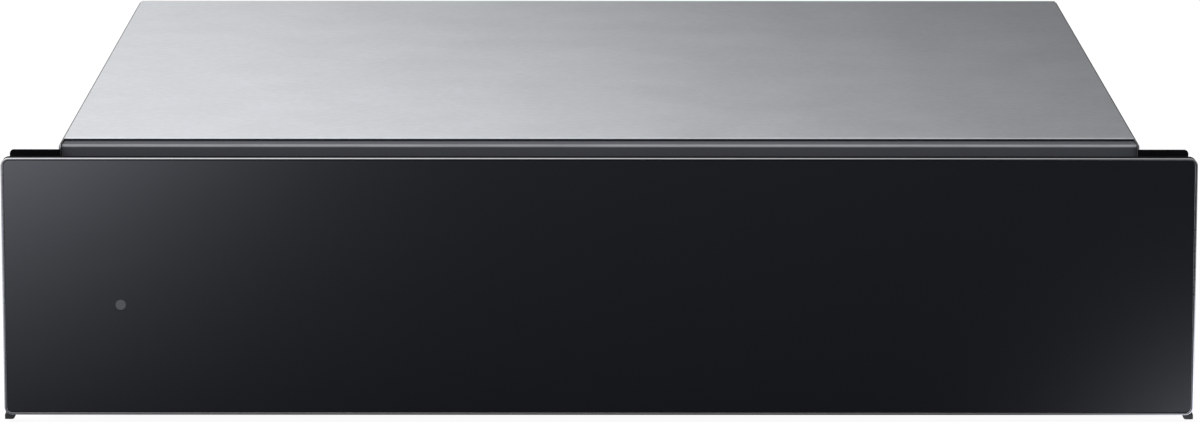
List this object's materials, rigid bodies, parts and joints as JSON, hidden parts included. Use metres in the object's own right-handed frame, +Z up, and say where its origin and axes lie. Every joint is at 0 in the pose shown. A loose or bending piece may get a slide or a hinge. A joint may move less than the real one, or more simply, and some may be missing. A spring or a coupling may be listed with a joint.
{
  "type": "warming drawer",
  "caption": "Built-in warming drawer with a push-to-open black glass front, stainless steel chassis, full-extension ball slides and a warm-air unit behind the drawer.",
  "frame": {"origin": "on the standing plane, midway between the left and right extremes and midway between the front and back extremes", "axes": "+X to the right as seen from the front, +Y to the back, +Z up; the glass front faces -Y"},
  "size_m": [0.595, 0.55, 0.1384],
  "materials": {
    "stainless_brushed": "brushed across the width",
    "stainless": "fine brushed",
    "galvanised_sheet": "galvanised, dull",
    "dark_steel": "dark grey, satin",
    "black_steel": "black, matte powder coat",
    "bright_trim": "satin anodised",
    "black_glass": "black back-painted, polished",
    "rubber": "matte",
    "fasteners": "zinc plated",
    "slide_steel": "zinc plated, light oil",
    "motor_steel": "lacquered laminations",
    "element_sheath": "heat-tinted sheath",
    "black_plastic": "fine grain",
    "white_plastic": "moulded",
    "knob_plastic": "satin",
    "circuit_board": "solder mask",
    "lens": "frosted"
  },
  "bodies": {
    "chassis": {"bottom_plate": "galvanised_sheet", "side_wall_left": "stainless", "side_wall_right": "stainless", "rear_wall": "galvanised_sheet", "top_cover": "stainless_brushed", "front_crossbar_top": "dark_steel", "front_crossbar_bottom": "dark_steel", "side_flange_left": "black_steel", "side_flange_right": "black_steel", "chassis_screws": "fasteners", "front_buffers": "rubber", "slide_outer_left": "slide_steel", "slide_outer_right": "slide_steel", "fan_plate": "galvanised_sheet", "fan_guard": "stainless", "motor_bracket": "galvanised_sheet", "fan_motor": "motor_steel", "heating_element": "element_sheath", "safety_thermostat": "black_plastic", "terminal_block": "white_plastic", "cable_gland": "black_plastic", "rear_spacers": "galvanised_sheet", "latch_housing": "black_plastic", "latch_spring": "fasteners"},
    "drawer": {"drawer_floor": "stainless", "drawer_side_left": "stainless", "drawer_side_right": "stainless", "drawer_rear_wall": "stainless", "drawer_inner_front": "stainless", "anti_slip_mat": "rubber", "drawer_screws": "fasteners", "slide_inner_left": "slide_steel", "slide_inner_right": "slide_steel", "panel_backing": "black_steel", "glass_tape": "rubber", "front_glass": "black_glass", "front_trim": "bright_trim", "panel_foot_left": "black_plastic", "panel_foot_right": "black_plastic", "panel_screws": "fasteners", "indicator_lens": "lens", "control_box": "black_plastic", "control_board": "circuit_board", "rotary_switch": "black_plastic", "control_fascia": "black_plastic", "latch_striker": "galvanised_sheet"},
    "slide_middle_left": {"slide_middle_left": "slide_steel"},
    "outer_cage_left": {"outer_cage_left": "slide_steel"},
    "inner_cage_left": {"inner_cage_left": "slide_steel"},
    "slide_middle_right": {"slide_middle_right": "slide_steel"},
    "outer_cage_right": {"outer_cage_right": "slide_steel"},
    "inner_cage_right": {"inner_cage_right": "slide_steel"},
    "knob": {"temperature_knob": "knob_plastic"},
    "button": {"power_button": "knob_plastic"},
    "latch": {"latch_pin": "white_plastic"},
    "fan": {"fan_impeller": "stainless", "fan_shaft": "slide_steel"}
  },
  "joints": [
    {"name": "drawer_slide", "type": "slide", "parent": "chassis", "child": "drawer", "axis": [0, -1, 0], "range_m": [-0.003, 0.42]},
    {"name": "slide_middle_left_travel", "type": "slide", "parent": "chassis", "child": "slide_middle_left", "axis": [0, -1, 0], "range_m": [-0.0015, 0.21]},
    {"name": "outer_cage_left_travel", "type": "slide", "parent": "chassis", "child": "outer_cage_left", "axis": [0, -1, 0], "range_m": [-0.00075, 0.105]},
    {"name": "inner_cage_left_travel", "type": "slide", "parent": "chassis", "child": "inner_cage_left", "axis": [0, -1, 0], "range_m": [-0.00225, 0.315]},
    {"name": "slide_middle_right_travel", "type": "slide", "parent": "chassis", "child": "slide_middle_right", "axis": [0, -1, 0], "range_m": [-0.0015, 0.21]},
    {"name": "outer_cage_right_travel", "type": "slide", "parent": "chassis", "child": "outer_cage_right", "axis": [0, -1, 0], "range_m": [-0.00075, 0.105]},
    {"name": "inner_cage_right_travel", "type": "slide", "parent": "chassis", "child": "inner_cage_right", "axis": [0, -1, 0], "range_m": [-0.00225, 0.315]},
    {"name": "temperature_turn", "type": "hinge", "parent": "drawer", "child": "knob", "pos_m": [-0.19, -0.22, 0.08], "axis": [0, -1, 0], "range_deg": [0, 270]},
    {"name": "power_push", "type": "slide", "parent": "drawer", "child": "button", "axis": [0, -1, 0], "range_m": [0, 0.0015], "stiffness_N_per_m": 600, "springref_m": -0.002},
    {"name": "latch_travel", "type": "slide", "parent": "chassis", "child": "latch", "axis": [0, 1, 0], "range_m": [0, 0.003], "stiffness_N_per_m": 1200, "springref_m": -0.003, "deforming": ["latch_spring"]},
    {"name": "fan_spin", "type": "hinge", "parent": "chassis", "child": "fan", "pos_m": [0, 0.19, 0.068], "axis": [0, 1, 0], "continuous": true}
  ],
  "couplings": [
    {"joint": "slide_middle_left_travel", "follows": "drawer_slide", "ratio": 0.5},
    {"joint": "outer_cage_left_travel", "follows": "drawer_slide", "ratio": 0.25},
    {"joint": "inner_cage_left_travel", "follows": "drawer_slide", "ratio": 0.75},
    {"joint": "slide_middle_right_travel", "follows": "drawer_slide", "ratio": 0.5},
    {"joint": "outer_cage_right_travel", "follows": "drawer_slide", "ratio": 0.25},
    {"joint": "inner_cage_right_travel", "follows": "drawer_slide", "ratio": 0.75}
  ]
}
